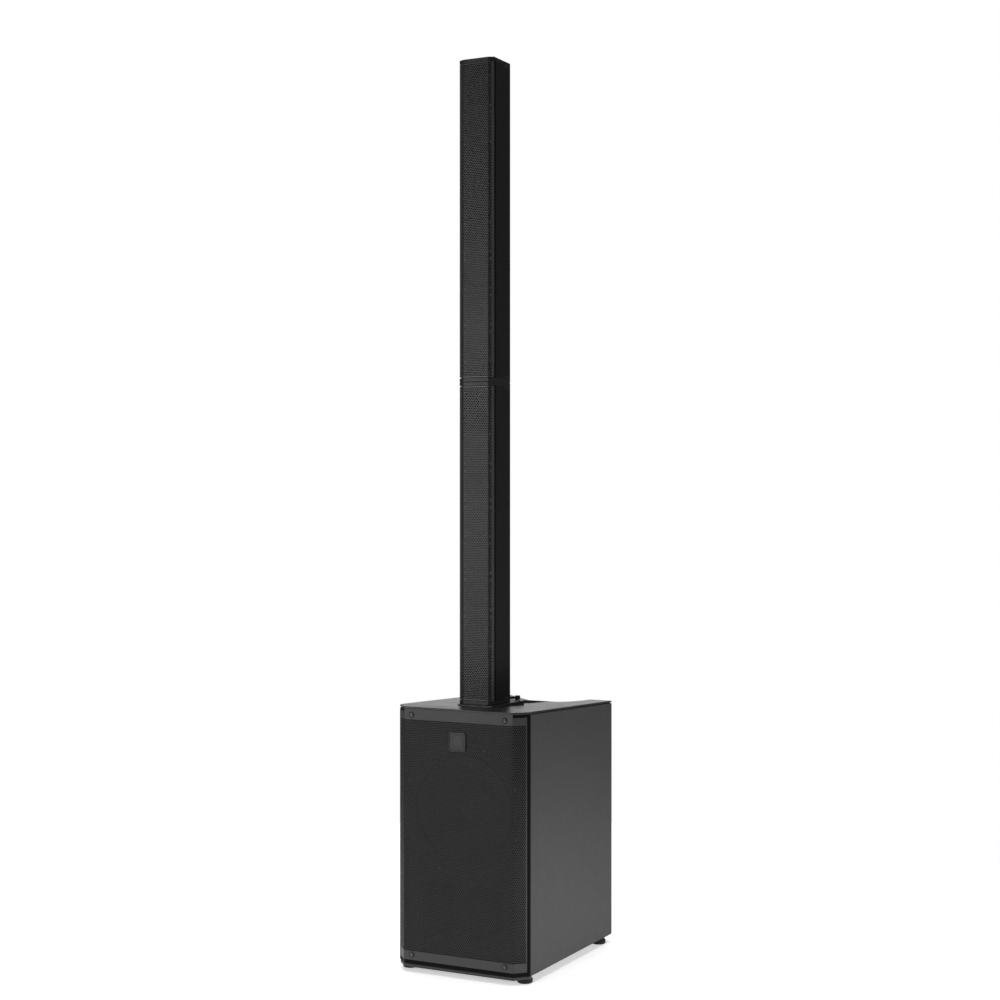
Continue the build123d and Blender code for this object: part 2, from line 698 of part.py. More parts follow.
def hollow_skirt(cap, low, high):
    return cap - column_inside(low, high)


def cap_screws(z0):
    """Four small screws through each module's side into its caps."""
    head = turned([(0, 0), (2.6, 0), (2.6, 0.5), (1.6, 1.0), (0, 1.0)])
    screws = []
    for z in (z0 + 8.0, z0 + MODULE - 8.0):
        screw = Pos(COLUMN_HALF, CAP_SCREW_Y, z) * Rot(0, 90, 0) * head
        screws += [screw, mirrored(screw)]
    return screws


def driver_baffle(z0, heights):
    board = block((-43.8, 43.8), (DRIVER_FACE, DRIVER_FACE + 3), (z0 + CAP + 1, z0 + MODULE - CAP - 1))
    for z in heights:
        board -= peg(0, z, DRIVER_FACE - 1, DRIVER_FACE + 4, 36.2)
    return board


def driver_frame(z):
    """Square flange with a short basket behind it."""
    half = DRIVER_SIZE / 2
    flange = block((-half, half), (DRIVER_FACE - 3, DRIVER_FACE), (z - half, z + half))
    flange = fillet(flange.edges().filter_by(Axis.Y), 14.0)
    flange -= peg(0, z, DRIVER_FACE - 4, DRIVER_FACE + 1, 33.5)
    outside = [(33.5, -0.5), (36, -0.5), (36, 2), (24, 22), (24, 25)]
    inside = [(9, 25), (9, 22.5), (22, 22.5), (33.5, 2)]
    basket = turned(outside + inside)
    return flange + aimed(basket, 0, DRIVER_FACE, z)


def driver_cone(z):
    cone = turned([(0, 7), (9, 10.5), (32.5, -2), (32.5, -0.6), (9, 12.2), (0, 8.5)])
    coil = turned([(7, 8), (8, 8.5), (8, 24), (7, 24)])
    return aimed(cone + coil, 0, DRIVER_FACE, z)


def driver_magnet(z):
    magnet = turned([(9.5, 25), (23, 25), (23, 41), (0, 41), (0, 39), (9.5, 39)])
    return aimed(magnet, 0, DRIVER_FACE, z)


def make_module(name, z0, heights, open_top):
    save(f"{name}_housing", housing(z0))
    save(f"{name}_grille", column_grille(z0))
    save(f"{name}_foot_cap", foot_cap(z0))
    save(f"{name}_top_cap", top_cap(z0, open_top))
    save(f"{name}_cap_screws", *cap_screws(z0))
    save(f"{name}_driver_baffle", driver_baffle(z0, heights))
    save(f"{name}_driver_frames", *[driver_frame(z) for z in heights])
    save(f"{name}_driver_magnets", *[driver_magnet(z) for z in heights])
    save(f"{name}_driver_cones", *[driver_cone(z) for z in heights])


os.makedirs("parts", exist_ok=True)
make_cabinet()
make_front()
make_top()
save("rubber_feet", *[rubber_foot(x, y) for x, y in FEET_AT])
make_woofer()
make_amplifier()
make_module("lower", LOWER_Z, LOWER_DRIVERS, True)
make_module("upper", UPPER_Z, UPPER_DRIVERS, False)
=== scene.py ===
import json
import math

import bpy
from mathutils import Matrix, Vector


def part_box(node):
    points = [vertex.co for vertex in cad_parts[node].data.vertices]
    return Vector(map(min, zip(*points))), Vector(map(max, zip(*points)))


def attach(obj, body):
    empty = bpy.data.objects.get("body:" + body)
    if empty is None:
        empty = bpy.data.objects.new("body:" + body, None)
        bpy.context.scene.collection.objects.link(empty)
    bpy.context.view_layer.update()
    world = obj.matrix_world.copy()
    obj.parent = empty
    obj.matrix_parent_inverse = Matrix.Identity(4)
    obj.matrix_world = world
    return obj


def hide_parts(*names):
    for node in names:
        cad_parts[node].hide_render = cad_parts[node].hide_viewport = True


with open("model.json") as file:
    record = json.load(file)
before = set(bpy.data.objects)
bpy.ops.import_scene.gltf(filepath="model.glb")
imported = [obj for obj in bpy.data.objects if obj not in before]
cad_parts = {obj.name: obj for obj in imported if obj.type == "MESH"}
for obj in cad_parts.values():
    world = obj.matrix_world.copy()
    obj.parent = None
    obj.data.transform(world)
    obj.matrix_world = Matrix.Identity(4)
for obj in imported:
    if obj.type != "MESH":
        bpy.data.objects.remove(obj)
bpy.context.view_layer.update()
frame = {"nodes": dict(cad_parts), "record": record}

# Looks of the PA speaker: a subwoofer cabinet with two slim column modules plugged into it.
# Metres, +Z up, the front faces -Y. Places come from the CAD nodes' boxes.

NODES = frame["nodes"]
MM = 0.001
UP = Vector((0, 0, 1))
OUT_FRONT = Vector((0, -1, 0))
OUT_BACK = Vector((0, 1, 0))
SEGMENTS = 96

# Camera, fitted to the edges of the cabinet and the column
CAMERA_PLACE = (2.0201, -3.9103, 1.1246)
CAMERA_TILT = 89.78
CAMERA_TURN = 27.51
SENSOR = 36.0
LENS = 65.117

# Light: direction of the pale backdrop and where it fades, how bright the room is elsewhere,
# and how far the floor glows
BACKDROP = (-0.46, 0.89, 0.0)
FADE_FROM, FADE_TO = 0.88, 0.97
ROOM = 0.14
FLOOR_GLOW = 0.5
FLOOR_RADIUS = 1.8

# Perforated sheet: rows of round holes, every other row moved half a pitch
PITCH = 4.65 * MM
ROW = 4.03 * MM
HOLE = 2.0 * MM
HOLE_SIDES = 8

# Cabinet grille: level to the crease each side, then bent back; the wings end lower than the front
GRILLE_LOW, GRILLE_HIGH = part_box("front_grille")
FRONT = GRILLE_LOW.y
HALF_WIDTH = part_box("right_side_panel")[1].x
CREASE = 144.3 * MM
CHAMFER_DEPTH = 30.1 * MM
CHAMFER_ANGLE = math.atan2(CHAMFER_DEPTH, HALF_WIDTH - CREASE)
CHAMFER_RUN = 34.0 * MM
BEND = 4.0 * MM
SHEET = 1.5 * MM
WING_TOP = 611.5 * MM
HOLES_LOW = 49.8 * MM
HOLE_COLUMNS = 76
HOLE_ROWS = {"lower": 45, "middle": 45, "upper": 45}

# Column modules: the upper one has a gap between its fourth and fifth drivers
FACET_X = 33.0 * MM
FACET_RUN = 14.4 * MM
COLUMN_BEND = 2.5 * MM
COLUMN_SHEET = 1.2 * MM
COLUMN_COLUMNS = 18
COLUMN_ROWS = 183
DRIVER_PITCH = 86.0 * MM
DRIVERS = {
    "lower": [798.8 * MM + DRIVER_PITCH * i for i in range(6)],
    "upper": [1470.4 * MM + DRIVER_PITCH * i for i in (0, 1, 2, 3, 6, 7)],
}

# Back panel
PANEL_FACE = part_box("amp_panel")[1].y

# Materials: colours that several looks share, and the limits that hold most of a noise or of a
# sum of two. The mix node's colour sockets are taken by place, because their names repeat.
DUST = (0.32, 0.31, 0.3)
RUBBER_DUST = (0.3, 0.29, 0.28)
SOLDER = (0.55, 0.55, 0.5)
ONE_NOISE = (0.3, 0.7)
TWO_NOISES = (0.6, 1.4)
MIX_FIRST, MIX_SECOND, MIX_RESULT = 6, 7, 2


# Camera, light and floor


def make_camera():
    data = bpy.data.cameras.new("camera")
    data.sensor_width = SENSOR
    data.lens = LENS
    camera = bpy.data.objects.new("camera", data)
    camera.location = CAMERA_PLACE
    camera.rotation_euler = (math.radians(CAMERA_TILT), 0.0, math.radians(CAMERA_TURN))
    bpy.context.scene.collection.objects.link(camera)
    bpy.context.scene.camera = camera


def link_light(light):
    bpy.context.scene.collection.objects.link(light)


def softbox(name, azimuth, height, distance, size, power, aim):
    """Large area light; azimuth runs from the front to the right, aim is a height on the middle line."""
    data = bpy.data.lights.new(name, "AREA")
    data.shape = "RECTANGLE"
    data.size, data.size_y = size
    data.energy = power
    light = bpy.data.objects.new(name, data)
    turn = math.radians(azimuth)
    light.location = (distance * math.sin(turn), -distance * math.cos(turn), height)
    towards = Vector((0, 0, aim)) - light.location
    light.rotation_euler = towards.to_track_quat("-Z", "Y").to_euler()
    link_light(light)


def overhead(strength, softness):
    """Even light from straight above, which keeps the floor pale and the shadow under the base."""
    data = bpy.data.lights.new("overhead", "SUN")
    data.energy = strength
    data.angle = math.radians(softness)
    link_light(bpy.data.objects.new("overhead", data))


def make_world():
    """Pale backdrop behind the object that fades to a dim room round it."""
    world = bpy.data.worlds.new("studio")
    world.use_nodes = True
    nodes, links = world.node_tree.nodes, world.node_tree.links
    background = nodes["Background"]
    background.inputs["Color"].default_value = (1.0, 1.0, 1.0, 1.0)
    towards = nodes.new("ShaderNodeVectorMath")
    towards.operation = "DOT_PRODUCT"
    links.new(nodes.new("ShaderNodeTexCoord").outputs["Generated"], towards.inputs[0])
    towards.inputs[1].default_value = BACKDROP
    fade = nodes.new("ShaderNodeMapRange")
    fade.interpolation_type = "SMOOTHSTEP"
    links.new(towards.outputs["Value"], fade.inputs["Value"])
    limits = {"From Min": FADE_FROM, "From Max": FADE_TO, "To Min": ROOM, "To Max": 1.0}
    for key, value in limits.items():
        fade.inputs[key].default_value = value
    seen = nodes.new("ShaderNodeMath")
    seen.operation = "MAXIMUM"
    links.new(fade.outputs["Result"], seen.inputs[0])
    links.new(nodes.new("ShaderNodeLightPath").outputs["Is Camera Ray"], seen.inputs[1])
    links.new(seen.outputs["Value"], background.inputs["Strength"])
    bpy.context.scene.world = world


def make_light():
    """Front light for the sheen of the grilles, two side lights that shade the side panel."""
    make_world()
    overhead(strength=1.8, softness=30.0)
    softbox("side_light", azimuth=66, height=0.7, distance=4.0, size=(1.0, 1.4), power=6, aim=0.4)
    softbox("front_light", azimuth=-30, height=1.3, distance=4.0, size=(1.2, 2.4), power=58, aim=1.2)
    softbox("low_side_light", azimuth=90, height=0.12, distance=0.85, size=(0.9, 0.2), power=3, aim=0.12)
    bpy.context.scene.view_settings.view_transform = "Standard"


# Mesh helpers


def mesh_object(name, vertices, faces):
    mesh = bpy.data.meshes.new(name)
    mesh.from_pydata(vertices, [], faces)
    mesh.validate()
    item = bpy.data.objects.new(name, mesh)
    bpy.context.scene.collection.objects.link(item)
    return item


def smooth_by_angle(item, degrees=35.0):
    """Rounded shading that keeps the edges sharper than the angle."""
    mesh = item.data
    mesh.polygons.foreach_set("use_smooth", [True] * len(mesh.polygons))
    mesh.set_sharp_from_angle(angle=math.radians(degrees))


def frame_at(centre, out):
    """Matrix that takes +Z to a level outward direction and the origin to the centre."""
    across = UP.cross(out)
    turn = Matrix((across, out.cross(across), out)).transposed().to_4x4()
    return Matrix.Translation(centre) @ turn


def loft(rings, close=False):
    """Vertices and faces of a skin through rings of equal length; open ends are capped."""
    count = len(rings[0])
    vertices = [point for ring in rings for point in ring]
    faces = []
    pairs = len(rings) if close else len(rings) - 1
    for i in range(pairs):
        low, high = i * count, (i + 1) % len(rings) * count
        for j in range(count):
            k = (j + 1) % count
            faces.append((low + j, low + k, high + k, high + j))
    if not close:
        faces.append(tuple(range(count))[::-1])
        faces.append(tuple(range((len(rings) - 1) * count, len(rings) * count)))
    return vertices, faces


def circle(radius, height, shape=None):
    """Ring of points; shape(angle) scales its radius."""
    ring = []
    for i in range(SEGMENTS):
        angle = 2 * math.pi * i / SEGMENTS
        reach = radius * (shape(angle) if shape else 1.0)
        ring.append(Vector((reach * math.cos(angle), reach * math.sin(angle), height)))
    return ring


def turned(profile, shape=None):
    """Rings of points from (radius, height) pairs in millimetres."""
    return [circle(r * MM, h * MM, shape) for r, h in profile]


def ring_body(profile, lift=0.0):
    """Closed ring round the axis from (radius, height) pairs in metres."""
    return loft([circle(r, h + lift) for r, h in profile], close=True)


def joined(parts):
    """One list of vertices and faces out of several."""
    vertices, faces = [], []
    for part_vertices, part_faces in parts:
        start = len(vertices)
        vertices += part_vertices
        faces += [tuple(start + i for i in face) for face in part_faces]
    return vertices, faces


def placed(part, matrix):
    """The same part, moved and turned by the matrix."""
    vertices, faces = part
    return [matrix @ v for v in vertices], faces


def finish_piece(item, body, material, nodes=()):
    """Gives a new piece its finish and its body, and hides the CAD nodes that it stands for."""
    item.data.materials.append(material)
    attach(item, body)
    if nodes:
        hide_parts(*nodes)


# Perforated sheets


def hole_lattice(columns, rows, low, first_row):
    """Points (s, z) and faces of brick-shaped cells with a round hole in each."""
    wide = 2 * columns + 1
    points = [((k - columns) * PITCH / 2, low + r * ROW) for r in range(rows + 1) for k in range(wide)]
    faces = []
    for r in range(rows):
        shift = (first_row + r) % 2
        under, over = r * wide, (r + 1) * wide
        for k in range(shift, 2 * columns - 1, 2):
            ring = len(points)
            middle = (k + 1 - columns) * PITCH / 2, low + (r + 0.5) * ROW
            for i in range(HOLE_SIDES):
                angle = 2 * math.pi * i / HOLE_SIDES
                points.append((middle[0] + HOLE * math.cos(angle), middle[1] + HOLE * math.sin(angle)))
            faces += [
                (over + k + 2, over + k + 1, ring + 2, ring + 1),
                (over + k + 1, over + k, ring + 3, ring + 2),
                (over + k, under + k, ring + 5, ring + 4, ring + 3),
                (under + k, under + k + 1, ring + 6, ring + 5),
                (under + k + 1, under + k + 2, ring + 7, ring + 6),
                (under + k + 2, over + k + 2, ring + 1, ring, ring + 7),
            ]
        if shift:
            for k in (0, 2 * columns - 1):
                faces.append((under + k, under + k + 1, over + k + 1, over + k))
    return points, faces


def plain_strip(places, low, top_of):
    """Unpierced cells from a height up to top_of(a, b), the height between distances a and b."""
    points, faces = [], []
    for a, b in zip(places, places[1:]):
        start, high = len(points), top_of(a, b)
        points += [(a, low), (b, low), (b, high), (a, high)]
        faces.append((start, start + 1, start + 2, start + 3))
    return points, faces


def level(z):
    """A top for plain_strip that has the same height everywhere."""
    return lambda a, b: z


def side_margins(columns, rows, low, end):
    """Plain edge outside the first and the last hole."""
    half = columns * PITCH / 2
    points, faces = [], []
    for inner, outer in ((half, end), (-end, -half)):
        for r in range(rows):
            start = len(points)
            z = low + r * ROW
            points += [(inner, z), (outer, z), (outer, z + ROW), (inner, z + ROW)]
            faces.append((start, start + 1, start + 2, start + 3))
    return points, faces


def welded(parts):
    """Joins flat patterns and merges the points that coincide."""
    index, points, faces = {}, [], []
    for part_points, part_faces in parts:
        new = []
        for s, z in part_points:
            key = round(s * 1e7), round(z * 1e7)
            if key not in index:
                index[key] = len(points)
                points.append((s, z))
            new.append(index[key])
        faces += [tuple(new[i] for i in face) for face in part_faces]
    return points, faces


def bent_sheet(name, pattern, place, thick):
    """Closed sheet: both faces, and a wall along every free edge and round every hole."""
    points, faces = pattern
    count = len(points)
    vertices = [place(s, z, 0.0) for s, z in points] + [place(s, z, thick) for s, z in points]
    edges = {}
    for face in faces:
        for a, b in zip(face, face[1:] + face[:1]):
            edges[a, b] = True  # a dict, because it keeps the order
    walls = [(b, a, a + count, b + count) for a, b in edges if (b, a) not in edges]
    back = [tuple(i + count for i in reversed(face)) for face in faces]
    return mesh_object(name, vertices, faces + back + walls)


def fold(flat, angle, radius, front):
    """Plan of a sheet that runs level to `flat` each side and then turns back by the angle."""
    start = flat - radius * math.tan(angle / 2)
    arc = radius * angle

    def place(s, z, inward):
        side, run = (1 if s >= 0 else -1), abs(s)
        turn = min(max(run - start, 0.0) / radius, angle)
        rest = max(run - start - arc, 0.0)
        x = min(run, start) + radius * math.sin(turn) + rest * math.cos(turn)
        y = radius * (1 - math.cos(turn)) + rest * math.sin(turn)
        return side * (x - inward * math.sin(turn)), front + y + inward * math.cos(turn), z

    return place


def sheet_places(columns, end):
    """Distances of the lattice's columns of points, with both ends of the sheet."""
    inner = [(k - columns) * PITCH / 2 for k in range(2 * columns + 1)]
    return [-end] + inner + [end]


def make_front_grille(material):
    """Cabinet grille in three lengths, each one closed mesh."""
    end = CREASE + CHAMFER_RUN
    place = fold(CREASE, CHAMFER_ANGLE, BEND, FRONT)
    places = sheet_places(HOLE_COLUMNS, end)

    def head(a, b):
        return GRILLE_HIGH.z if max(abs(a), abs(b)) < CREASE else WING_TOP

    low, first = HOLES_LOW, 0
    for part, rows in HOLE_ROWS.items():
        pattern = [hole_lattice(HOLE_COLUMNS, rows, low, first), side_margins(HOLE_COLUMNS, rows, low, end)]
        if part == "lower":
            pattern.append(plain_strip(places, GRILLE_LOW.z, level(low)))
        if part == "upper":
            pattern.append(plain_strip(places, HOLES_LOW + sum(HOLE_ROWS.values()) * ROW, head))
        item = bent_sheet(f"front_grille_{part}", welded(pattern), place, SHEET)
        finish_piece(item, "base", material, ["front_grille"])
        low += rows * ROW
        first += rows


def make_column_grille(module, material):
    """Grille of one module, with as many whole rows of holes as fit its height."""
    low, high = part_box(f"{module}_grille")
    half_width = high.x
    depth = high.y - low.y - COLUMN_SHEET
    angle = math.atan2(depth, half_width - FACET_X)
    end = FACET_X + FACET_RUN
    place = fold(FACET_X, angle, COLUMN_BEND, low.y)
    places = sheet_places(COLUMN_COLUMNS, end)
    start = (low.z + high.z - COLUMN_ROWS * ROW) / 2
    stop = start + COLUMN_ROWS * ROW
    pattern = [
        hole_lattice(COLUMN_COLUMNS, COLUMN_ROWS, start, 0),
        side_margins(COLUMN_COLUMNS, COLUMN_ROWS, start, end),
        plain_strip(places, low.z, level(start)),
        plain_strip(places, stop, level(high.z)),
    ]
    item = bent_sheet(f"{module}_perforated_grille", welded(pattern), place, COLUMN_SHEET)
    finish_piece(item, f"{module}_column", material, [f"{module}_grille"])


# Screws


def hexagon(angle):
    """Shape of a hexagon drawn round the circle."""
    part = (angle + math.pi / 6) % (math.pi / 3) - math.pi / 6
    return 1 / math.cos(part)


def screw_head(radius, height, socket, depth):
    """Domed head with a hexagon socket; its seat is at height 0."""
    rim, flat, steps = 0.25, socket * 1.25, 7
    rings = [circle(radius * 0.6, 0.0), circle(radius, 0.0), circle(radius, height * rim)]
    for i in range(1, steps):
        angle = math.pi / 2 * i / steps
        reach = flat + (radius - flat) * math.cos(angle)
        rings.append(circle(reach, height * (rim + (1 - rim) * math.sin(angle))))
    rings.append(circle(socket * 1.2, height))
    rings.append(circle(socket, height * 0.97, hexagon))
    rings.append(circle(socket, height - depth, hexagon))
    rings.append(circle(socket * 0.3, height - depth * 1.25))
    return loft(rings)


def flat_ring(inner, outer, height):
    """Rounded flat ring standing on height 0."""
    edge = height * 0.4
    profile = [(inner, 0), (outer, 0), (outer, height - edge), (outer - edge, height)]
    profile += [(inner + edge, height), (inner, height - edge)]
    return ring_body(profile)


def group(name, part, places, out):
    """One object with the same part at several places."""
    copies = [placed(part, frame_at(place, out)) for place in places]
    item = mesh_object(name, *joined(copies))
    smooth_by_angle(item)
    return item


def solid_boxes(node):
    """Boxes of the separate solids in a node, found from their vertices."""
    mesh = NODES[node].data
    parent = list(range(len(mesh.vertices)))

    def root(i):
        while parent[i] != i:
            parent[i] = parent[parent[i]]
            i = parent[i]
        return i

    where = {}
    for i, v in enumerate(mesh.vertices):
        key = tuple(round(c * 1e5) for c in v.co)
        parent[i] = where.setdefault(key, i)
    for edge in mesh.edges:
        a, b = root(edge.vertices[0]), root(edge.vertices[1])
        parent[max(a, b)] = min(a, b)
    groups = {}
    for i, v in enumerate(mesh.vertices):
        groups.setdefault(root(i), []).append(v.co)
    boxes = []
    for points in groups.values():
        low = Vector([min(p[i] for p in points) for i in range(3)])
        high = Vector([max(p[i] for p in points) for i in range(3)])
        boxes.append((low, high))
    return sorted(boxes, key=lambda pair: tuple(round(c, 4) for c in pair[0]))


def screw_places(node, y):
    """Middle of each screw in a node, on the plane where its head sits."""
    return [Vector(((low.x + high.x) / 2, y, (low.z + high.z) / 2)) for low, high in solid_boxes(node)]


def make_screws(materials):
    steel, rubber = materials["screw_steel"], materials["foot_rubber"]
    places = screw_places("grille_screws", FRONT)
    head = screw_head(radius=5.2 * MM, height=2.9 * MM, socket=1.9 * MM, depth=1.7 * MM)
    heads = group("grille_screw_heads", head, places, OUT_FRONT)
    finish_piece(heads, "base", steel, ["grille_screws"])
    # Near-black ring round each grille screw head: painted shade of the gap round the head.
    ring = flat_ring(inner=5.3 * MM, outer=6.9 * MM, height=0.9 * MM)
    rings = group("grille_screw_shade_rings", ring, places, OUT_FRONT)
    finish_piece(rings, "base", rubber)
    head = screw_head(radius=4.2 * MM, height=2.6 * MM, socket=1.5 * MM, depth=1.4 * MM)
    heads = group("panel_screw_heads", head, screw_places("panel_screws", PANEL_FACE), OUT_BACK)
    finish_piece(heads, "base", steel, ["panel_screws"])


# Badge and back panel


def squared(corner):
    """Shape of a square with rounded corners; corner is a share of half the side."""
    flat = 1.0 - corner

    def shape(angle):
        long, short = sorted((abs(math.cos(angle)), abs(math.sin(angle))), reverse=True)
        if short / long <= flat:
            return 1.0 / long
        along = flat * (long + short)
        return along + math.sqrt(along * along - 2 * flat * flat + corner * corner)

    return shape


def middle_of(node, y):
    """Middle of a node's box, on a plane that faces the front or the back."""
    low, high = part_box(node)
    return Vector(((low.x + high.x) / 2, y, (low.z + high.z) / 2))


def make_badge(material):
    """Blank badge: raised rim, sunken field and a low ring in it."""
    centre = middle_of("badge_plate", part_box("badge_plate")[1].y)
    half, corner = 22.0, 4.0
    outside, field = squared(corner / half), squared(0.14)
    rings = turned([(half, 0.0), (half, 2.8), (21.3, 3.4), (19.6, 3.4)], outside)
    rings += turned([(19.0, 2.0), (17.8, 2.0), (17.4, 2.5)], field)
    rings += turned([(15.4, 2.5), (15.0, 3.0), (13.4, 3.0), (13.0, 2.5)])
    item = mesh_object("badge_rim_and_field", *placed(loft(rings), frame_at(centre, OUT_FRONT)))
    smooth_by_angle(item)
    finish_piece(item, "base", material, ["badge_plate"])


def fluted(angle):
    """Grip of the knob: shallow flutes all round."""
    flutes, depth = 18, 0.045
    return 1.0 - depth * max(0.0, math.cos(flutes * angle)) ** 3


def make_knob(materials):
    """Level knob: skirt, fluted grip and dished top, with a raised pointer line."""
    gap, top, pointer_up, pointer_stretch = 0.3 * MM, 8.1 * MM, 3.6 * MM, 3.4
    centre = middle_of("level_knob", PANEL_FACE + gap)
    rings = turned([(10.0, 0.0), (10.5, 0.3), (10.5, 1.5), (9.9, 2.0)])
    rings += turned([(9.6, 2.2), (9.0, 7.6), (8.6, 8.2)], fluted)
    rings += turned([(7.6, 8.5), (7.0, 8.1)])
    item = mesh_object("level_knob_flutes", *placed(loft(rings), frame_at(centre, OUT_BACK)))
    smooth_by_angle(item, 30)
    finish_piece(item, "level_knob", materials["knob_plastic"], ["level_knob"])
    rings = turned([(0.9, 0.0), (0.9, 0.35), (0.6, 0.5)])
    line = [[Vector((p.x, p.y * pointer_stretch, p.z)) for p in ring] for ring in rings]
    place = frame_at(centre + Vector((0, top, pointer_up)), OUT_BACK)
    item = mesh_object("level_knob_pointer", *placed(loft(line), place))
    finish_piece(item, "level_knob", materials["button_plastic"])


def make_panel_details(materials):
    """Scale dots round the knob, lamp lenses over it, and the screws of the socket flanges."""
    knob = middle_of("level_knob", PANEL_FACE)
    scale_radius, first_dot, dot_step, dot_count = 15.0 * MM, 225, 27, 11
    dots = []
    for i in range(dot_count):
        angle = math.radians(first_dot - dot_step * i)
        dots.append(knob + scale_radius * Vector((math.cos(angle), 0, math.sin(angle))))
    dot = loft(turned([(0.9, 0.0), (0.9, 0.15), (0.7, 0.3)]))
    item = group("level_scale_dots", dot, dots, OUT_BACK)
    finish_piece(item, "base", materials["button_plastic"])
    lens = turned([(2.6, 0.0), (2.6, 0.4), (2.1, 0.6), (1.9, 0.4), (1.7, 1.0), (0.9, 1.5)])
    lamps = [knob + Vector((x * MM, 0, 27.0 * MM)) for x in (-10.0, 0.0, 10.0)]
    item = group("lamp_lenses", loft(lens), lamps, OUT_BACK)
    finish_piece(item, "base", materials["button_plastic"])
    flange = PANEL_FACE + 2.0 * MM
    socket_screw = Vector((-9.5 * MM, 0, 12.2 * MM))
    inlet_screw = Vector((20.0 * MM, 0, 0))
    spots = []
    screws = {"input_socket": socket_screw, "link_socket": socket_screw, "power_inlet": inlet_screw}
    for node, screw in screws.items():
        spots += [middle_of(node, flange) + sign * screw for sign in (-1, 1)]
    head = screw_head(radius=2.6 * MM, height=1.4 * MM, socket=1.0 * MM, depth=0.9 * MM)
    item = group("flange_screws", head, spots, OUT_BACK)
    finish_piece(item, "base", materials["screw_steel"])


# Loudspeakers


def revolved(name, profile, centre, smooth=40.0):
    """Closed ring of one profile, standing on the centre and facing the front."""
    item = mesh_object(name, *placed(ring_body(profile), frame_at(centre, OUT_FRONT)))
    smooth_by_angle(item, smooth)
    return item


def half_roll(inner, outer, rim, height, thick, steps=14):
    """Profile of a surround: a flat lip, a half-round roll, a flat lip, and back underneath."""
    middle, radius = (inner + outer) / 2, (outer - inner) / 2
    inner_lip, outer_lip = inner - rim, outer + rim * 0.2
    over, under = [(inner_lip, 0.0)], []
    for i in range(steps + 1):
        angle = math.pi * (1 - i / steps)
        over.append((middle + radius * math.cos(angle), height * math.sin(angle)))
        low = (height - thick) * math.sin(angle) - thick * 0.4
        under.append((middle + (radius - thick) * math.cos(angle), low))
    under.append((outer_lip, -thick))
    over.append((outer_lip, 0.0))
    return over + under[::-1] + [(inner_lip, -thick)]


def ribbed_cone(outer, inner, depth, thick, ribs, rise):
    """Profile of a cone with pressed rings, from its edge down to its neck and back."""
    front, back = [], []
    steps, curve, first_rib, last_rib = 60, 0.92, 0.08, 0.85
    for i in range(steps + 1):
        share = i / steps
        radius = outer + (inner - outer) * share
        height = -depth * (share ** curve)
        wave = rise * max(0.0, math.cos(2 * math.pi * ribs * share)) * (first_rib < share < last_rib)
        front.append((radius, height + wave))
        back.append((radius, height + wave - thick))
    return front + back[::-1]


def dome(radius, rise, thick):
    """Profile of a dust cap, from its rim to just short of the middle and back."""
    front, back = [], []
    steps, almost = 16, 0.995
    for i in range(steps + 1):
        share = 1 - i / steps * almost
        front.append((radius * share, rise * (1 - share * share)))
        back.append((radius * share * 0.98, rise * (1 - share * share) - thick))
    return front + back[::-1]


def make_woofer(materials):
    """Surround, cone, dust cap and gasket; depths count back from the frame's mounting face."""
    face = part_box("woofer_frame")[0].y + 5.0 * MM

    def at(depth):
        return middle_of("woofer_frame", face + depth)

    roll = half_roll(inner=122.6 * MM, outer=134.4 * MM, rim=1.5 * MM, height=6.0 * MM, thick=0.9 * MM)
    item = revolved("woofer_roll_surround", roll, at(4.3 * MM))
    finish_piece(item, "base", materials["surround_rubber"], ["woofer_surround"])
    edge, neck = 121.8 * MM, 33.6 * MM
    cone = ribbed_cone(edge, neck, depth=74.0 * MM, thick=1.6 * MM, ribs=6, rise=1.0 * MM)
    item = revolved("woofer_ribbed_cone", cone, at(4.6 * MM))
    finish_piece(item, "woofer_cone", materials["cone_pulp"], ["woofer_cone"])
    cap = dome(radius=44.0 * MM, rise=9.0 * MM, thick=1.0 * MM)
    item = revolved("woofer_cap_dome", cap, at(71.0 * MM))
    finish_piece(item, "woofer_cone", materials["cap_pulp"], ["woofer_dust_cap"])
    gasket = [(139.5, 5.05), (151.5, 5.05), (151.5, 7.0), (150.3, 8.2), (141.0, 8.2), (139.5, 6.7)]
    item = revolved("woofer_gasket", [(r * MM, h * MM) for r, h in gasket], at(0.0), smooth=25)
    finish_piece(item, "base", materials["surround_rubber"])


def make_drivers(module, materials):
    """Cones, caps, surrounds and screws of the small drivers in one module."""
    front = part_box(f"{module}_driver_frames")[0].y
    centres = [Vector((0.0, front + 3.0 * MM, z)) for z in DRIVERS[module]]
    edge, neck = 29.2 * MM, 9.0 * MM
    cone = ribbed_cone(edge, neck, depth=10.0 * MM, thick=1.0 * MM, ribs=3, rise=0.35 * MM)
    cones = group(f"{module}_ribbed_cones", ring_body(cone), centres, OUT_FRONT)
    cap = ring_body(dome(radius=11.5 * MM, rise=4.2 * MM, thick=0.7 * MM), lift=-8.9 * MM)
    caps = group(f"{module}_cap_domes", cap, centres, OUT_FRONT)
    pulp_paper = materials["driver_cone_pulp"]
    for item in (cones, caps):
        finish_piece(item, f"{module}_cones", pulp_paper, [f"{module}_driver_cones"])
    roll = half_roll(29.3 * MM, 33.1 * MM, rim=1.2 * MM, height=2.4 * MM, thick=0.5 * MM, steps=10)
    rolls = group(f"{module}_roll_surrounds", ring_body(roll, lift=0.9 * MM), centres, OUT_FRONT)
    finish_piece(rolls, f"{module}_cones", materials["surround_rubber"])
    offset = 34.5 * MM
    corners = [(sx * offset, sz * offset) for sx in (-1, 1) for sz in (-1, 1)]
    spots = [Vector((x, front, middle + z)) for middle in DRIVERS[module] for x, z in corners]
    head = screw_head(radius=2.9 * MM, height=1.7 * MM, socket=1.0 * MM, depth=0.9 * MM)
    heads = group(f"{module}_driver_screws", head, spots, OUT_FRONT)
    finish_piece(heads, f"{module}_column", materials["screw_steel"])


# Materials


